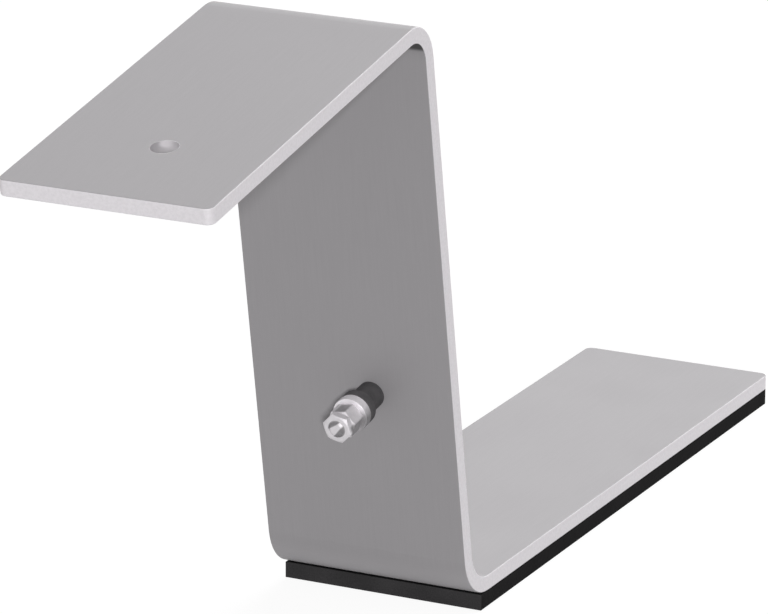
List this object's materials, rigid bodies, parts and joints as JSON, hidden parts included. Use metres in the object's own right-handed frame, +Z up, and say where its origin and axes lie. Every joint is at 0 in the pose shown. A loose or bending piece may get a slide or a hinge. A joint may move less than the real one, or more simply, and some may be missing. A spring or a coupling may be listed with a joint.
{
  "type": "flat roof solar mounting foot",
  "caption": "Folded Z-shaped metal foot with a pitched flange, a web bolt with rubber sleeve and nuts, and a flat base on a rubber pad for standing on a flat roof.",
  "frame": {"origin": "on the ground under the middle of the outline, at the underside of the rubber pad", "axes": "+X across the strip, to the right as seen from the flange's free end; +Y along the base towards its free end; +Z up"},
  "size_m": [0.08, 0.4797, 0.2325],
  "materials": {
    "strip": "matt grey mill surface with paler cut edges",
    "pad_rubber": "matt black rubber",
    "fastener": "satin zinc plate",
    "sleeve_rubber": "matt black rubber"
  },
  "bodies": {
    "root": {"bracket": "strip", "rubber_pad": "pad_rubber", "web_bolt": "fastener", "hex_nut": "fastener", "steel_washer": "fastener", "lock_nut": "fastener", "rubber_washer": "sleeve_rubber", "rubber_sleeve": "sleeve_rubber"}
  },
  "joints": []
}
